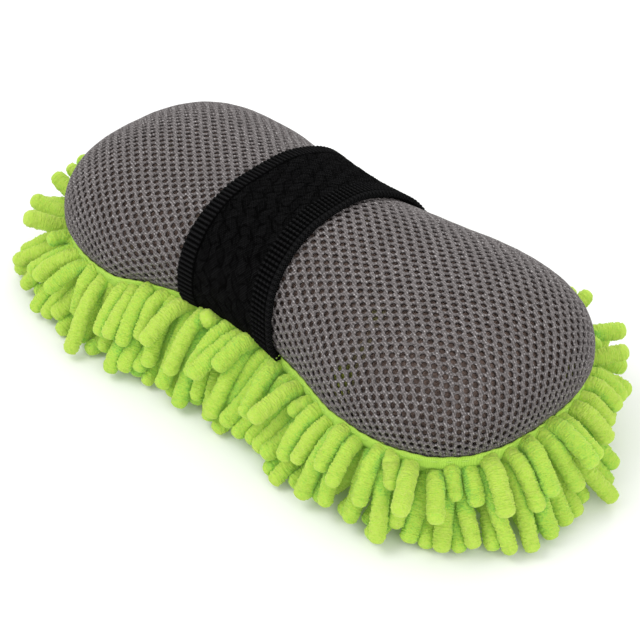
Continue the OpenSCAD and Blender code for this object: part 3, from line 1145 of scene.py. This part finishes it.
def smooth_paths(chains, samples):
    """Points along a smooth curve through each noodle's chain."""
    before, after = 2 * chains[:, :1] - chains[:, 1:2], 2 * chains[:, -1:] - chains[:, -2:-1]
    padded = np.concatenate([before, chains, after], axis=1)
    where = np.clip(samples, 0, 1) * (CHAIN - 1)
    k = np.minimum(where.astype(int), CHAIN - 2)
    t = (where - k)[..., None]
    rows = np.arange(len(chains))[:, None]
    a, b, c, d = (padded[rows, k + n] for n in range(4))
    return 0.5 * (2 * b + (c - a) * t + (2 * a - 5 * b + 4 * c - d) * t**2 + (3 * b - a - 3 * c + d) * t**3)


def frames_along(paths):
    """Side and up vectors that turn as little as possible along each path."""
    tangent = unit(np.gradient(paths, axis=1))
    side = np.empty_like(paths)
    side[:, 0] = unit(np.cross(tangent[:, 0], [0.3, 0.5, 0.81]))
    for k in range(1, paths.shape[1]):
        carried = side[:, k - 1] - tangent[:, k] * (side[:, k - 1] * tangent[:, k]).sum(1)[:, None]
        side[:, k] = unit(carried)
    return side, np.cross(tangent, side)


def pile_noise(count, rings, sides):
    """Roughness of the pile: lumps, broken rings and single tufts."""
    fine = RNG.normal(0, 0.1, (count, rings, sides))
    ring = RNG.normal(0, 0.11, (count, rings, sides))
    ring = (ring + np.roll(ring, 1, 1) + np.roll(ring, 1, 2) + np.roll(ring, (1, 1), (1, 2))) / 2
    phase = RNG.uniform(0, 2 * math.pi, (count, 1, 1, 3))
    k = np.arange(rings)[None, :, None] / rings
    around = np.arange(sides)[None, None, :] / sides * 2 * math.pi
    lumps = 0.09 * np.sin(2 * math.pi * 2.3 * k + phase[..., 0] + np.cos(around + phase[..., 1]))
    lumps = lumps + 0.05 * np.sin(2 * math.pi * 5.3 * k + phase[..., 2] + 2 * around)
    ribs = 2 * math.pi * rings * RIBS_PER_RING * k + phase[..., 1]
    ribs = 0.085 * np.sin(ribs + 1.5 * np.sin(around + phase[..., 0]))
    return (fine + ring + ribs + lumps) * MM


def crowding(chains):
    """Sums over each chain point's neighbours: the ways to them, and the products of those ways."""
    points = chains.reshape(-1, 3)
    chain = np.repeat(np.arange(len(chains)), CHAIN)
    pairs = near_pairs(points, chain, CROWD_REACH)
    i, j = np.concatenate(pairs), np.concatenate(pairs[::-1])
    gap = points[j] - points[i]
    size = np.linalg.norm(gap, axis=1, keepdims=True)
    way = gap / np.maximum(size, 1e-6)
    terms = np.concatenate([way, (way[:, :, None] * way[:, None]).reshape(-1, 9)], axis=1)
    terms = terms * smoothstep(CROWD_REACH, 2 * NOODLE_R, size)
    sums = [np.bincount(i, column, len(points)) for column in terms.T]
    return np.stack(sums, axis=-1).reshape(len(chains), CHAIN, 12)


def closed_in(crowd, samples, ring):
    """How closely neighbours cover each place on the tubes, from 0 to 1, which sets the noodles' painted
    shade.
    """
    where = samples * (CHAIN - 1)
    k = np.minimum(where.astype(int), CHAIN - 2)
    t = (where - k)[..., None]
    rows = np.arange(len(crowd))[:, None]
    here = crowd[rows, k] * (1 - t) + crowd[rows, k + 1] * t
    squares = here[..., 3:].reshape(*k.shape, 3, 3)
    toward = (ring @ here[..., :3, None])[..., 0]
    along_both = ((ring @ squares) * ring).sum(-1)
    return smoothstep(0.5, 2.8, 0.5 * (toward + along_both))


def noodle_mesh(chains, crowd, length, rings, sides):
    """Points, faces and cloth coordinates of rough tubes along settled chains."""
    count = len(chains)
    straight = np.linspace(0, 1, rings - CAP_RINGS)[None] * (1 - NOODLE_R / length)[:, None]
    angle = np.arange(1, CAP_RINGS + 1) / (CAP_RINGS + 0.6) * math.pi / 2
    tip = straight[:, -1:] + np.sin(angle)[None] * (NOODLE_R / length)[:, None]
    samples = np.concatenate([straight, tip], axis=1)
    paths = smooth_paths(chains, samples)
    side, up = frames_along(paths)
    along = samples * length[:, None]
    size = ROOT_R + (NOODLE_R - ROOT_R) * smoothstep(0, ROOT_LENGTH, along)
    size[:, -CAP_RINGS:] *= np.cos(angle)[None] ** TIP_POWER
    thick = RNG.normal(1, 0.055, (count, 1))
    radius = (size * thick)[..., None] + pile_noise(count, rings, sides) * (size / NOODLE_R)[..., None]
    turn = np.arange(sides) * 2 * math.pi / sides
    ring = np.cos(turn)[:, None] * side[:, :, None] + np.sin(turn)[:, None] * up[:, :, None]
    body = paths[:, :, None] + ring * radius[..., None]
    body[..., 2] = np.maximum(body[..., 2], 0)
    ends = np.stack([paths[:, 0], paths[:, -1]], axis=1)
    points = np.concatenate([body.reshape(count, -1, 3), ends], axis=1)
    closed = closed_in(crowd, samples, ring).reshape(count, -1)
    # each noodle's random tone, less painted shade where neighbours close round the tube
    tone_and_painted_shade = 0.05 * RNG.uniform(-1, 1, count)[:, None] - 0.16 * closed
    coords = np.empty_like(points)
    coords[:, :-2, 0] = np.tile(turn * NOODLE_R, rings)
    coords[:, :-2, 1] = np.repeat(along, sides, axis=1)
    coords[:, :-2, 2] = tone_and_painted_shade
    coords[:, -2] = coords[:, 0]
    coords[:, -1] = coords[:, -3]
    return points, [face[::-1] for face in capped_faces(rings, sides)], coords


def add_noodles(name, node, chosen, points, faces, coords, material):
    """One piece of the chosen noodles, standing for a CAD node."""
    merged, merged_faces = joined([(points[n], faces) for n in np.flatnonzero(chosen)])
    piece = add_piece(name, merged, merged_faces, material, coords[chosen].reshape(-1, 3))
    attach(piece, "pad")
    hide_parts(node)


def in_segment(along, segment):
    first, last = (station_length(index) for index in RIM[segment])
    return (along - first) % SEAM_TOTAL < (last - first)


def build_noodles(material):
    upper = [np.concatenate(both) for both in zip(rim_roots(*TOP_TIER), rim_roots(*MIDDLE_TIER))]
    lower = rim_roots(*LOWER_TIER)
    rows = row_roots()
    start, way, length = (np.concatenate([group[k] for group in (upper, lower, rows)]) for k in range(3))
    weight = np.full(len(start), 0.8)
    weight[: TOP_TIER[0]] = RNG.uniform(0.12, 0.6, TOP_TIER[0])
    weight[: len(upper[4])] *= 1 - 0.9 * upper[4]
    chains = settle(start, way, length, weight)
    crowd = crowding(chains)
    cut = np.cumsum([len(upper[0]), len(lower[0])])
    parts = [np.split(values, cut) for values in (chains, crowd, length)]
    for tier, along, *part in zip(("upper", "lower"), (upper[3], lower[3]), *parts):
        points, faces, coords = noodle_mesh(*part, RIM_RINGS, RIM_SIDES)
        for segment in RIM:
            names = (f"tufts_{tier}_{segment}", f"rim_{tier}_{segment}")
            add_noodles(*names, in_segment(along, segment), points, faces, coords, material)
    points, faces, coords = noodle_mesh(*(part[2] for part in parts), ROW_RINGS, ROW_SIDES)
    for row in range(-SIDE_ROWS, SIDE_ROWS + 1):
        number = f"{row + SIDE_ROWS + 1:02d}"
        names = (f"tufts_row_{number}", f"noodle_row_{number}")
        add_noodles(*names, rows[3] == row, points, faces, coords, material)


# ---- stage

AZIMUTH = math.radians(45.3)
ELEVATION = math.radians(37.5)
DISTANCE = 0.604
TARGET = Vector((0.022, -0.0196, 0.0375))
FOCAL_LENGTH = 101.8
LIGHT_TARGET = Vector((0, 0, 0.03))
FLOOR_HALF = 12.0


def add_camera():
    flat = math.cos(ELEVATION)
    back = Vector((math.sin(AZIMUTH) * flat, -math.cos(AZIMUTH) * flat, math.sin(ELEVATION)))
    lens = bpy.data.cameras.new("camera")
    lens.lens = FOCAL_LENGTH
    lens.sensor_width = 36
    lens.clip_start = 0.01
    camera = bpy.data.objects.new("camera", lens)
    camera.location = TARGET + back * DISTANCE
    camera.rotation_euler = back.to_track_quat("Z", "Y").to_euler()
    bpy.context.scene.collection.objects.link(camera)
    bpy.context.scene.camera = camera


def add_area(name, place, size, power):
    light = bpy.data.lights.new(name, "AREA")
    light.shape = "DISK"
    light.size = size
    light.energy = power
    lamp = bpy.data.objects.new(name, light)
    lamp.location = place
    lamp.rotation_euler = (Vector(place) - LIGHT_TARGET).to_track_quat("Z", "Y").to_euler()
    bpy.context.scene.collection.objects.link(lamp)


def add_floor():
    mesh = bpy.data.meshes.new("floor")
    corners = [(x * FLOOR_HALF, y * FLOOR_HALF, 0) for x, y in ((-1, -1), (1, -1), (1, 1), (-1, 1))]
    mesh.from_pydata(corners, [], [(0, 1, 2, 3)])
    floor = bpy.data.objects.new("floor", mesh)
    bpy.context.scene.collection.objects.link(floor)
    material, tree, shader = make_material("floor", 0.9)
    tone = noise(tree, object_coords(tree), 3.0, 1.0)
    colour = ramp(tree, tone, [(0.3, (0.86, 0.86, 0.86)), (0.7, (0.89, 0.89, 0.89))])
    tree.links.new(colour, shader.inputs["Base Color"])
    mesh.materials.append(material)


def add_lights():
    world = bpy.data.worlds.new("studio")
    world.use_nodes = True
    background = world.node_tree.nodes["Background"]
    background.inputs["Color"].default_value = (1, 1, 1, 1)
    background.inputs["Strength"].default_value = 0.95
    bpy.context.scene.world = world
    add_area("key", (-0.35, -0.55, 0.95), 0.7, 4.2)
    add_area("fill", (0.85, -0.35, 0.6), 0.8, 3.0)
    add_area("back", (-0.3, 0.9, 0.75), 0.7, 3.0)
    bpy.context.scene.view_settings.view_transform = "Standard"


def main():
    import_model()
    add_camera()
    add_floor()
    add_lights()
    cloth = lime_cloth_material()
    build_foam()
    build_mesh_cover()
    build_base_cloth(cloth)
    build_binding(cloth)
    build_strap()
    build_stitches()
    build_noodles(chenille_material())


main()
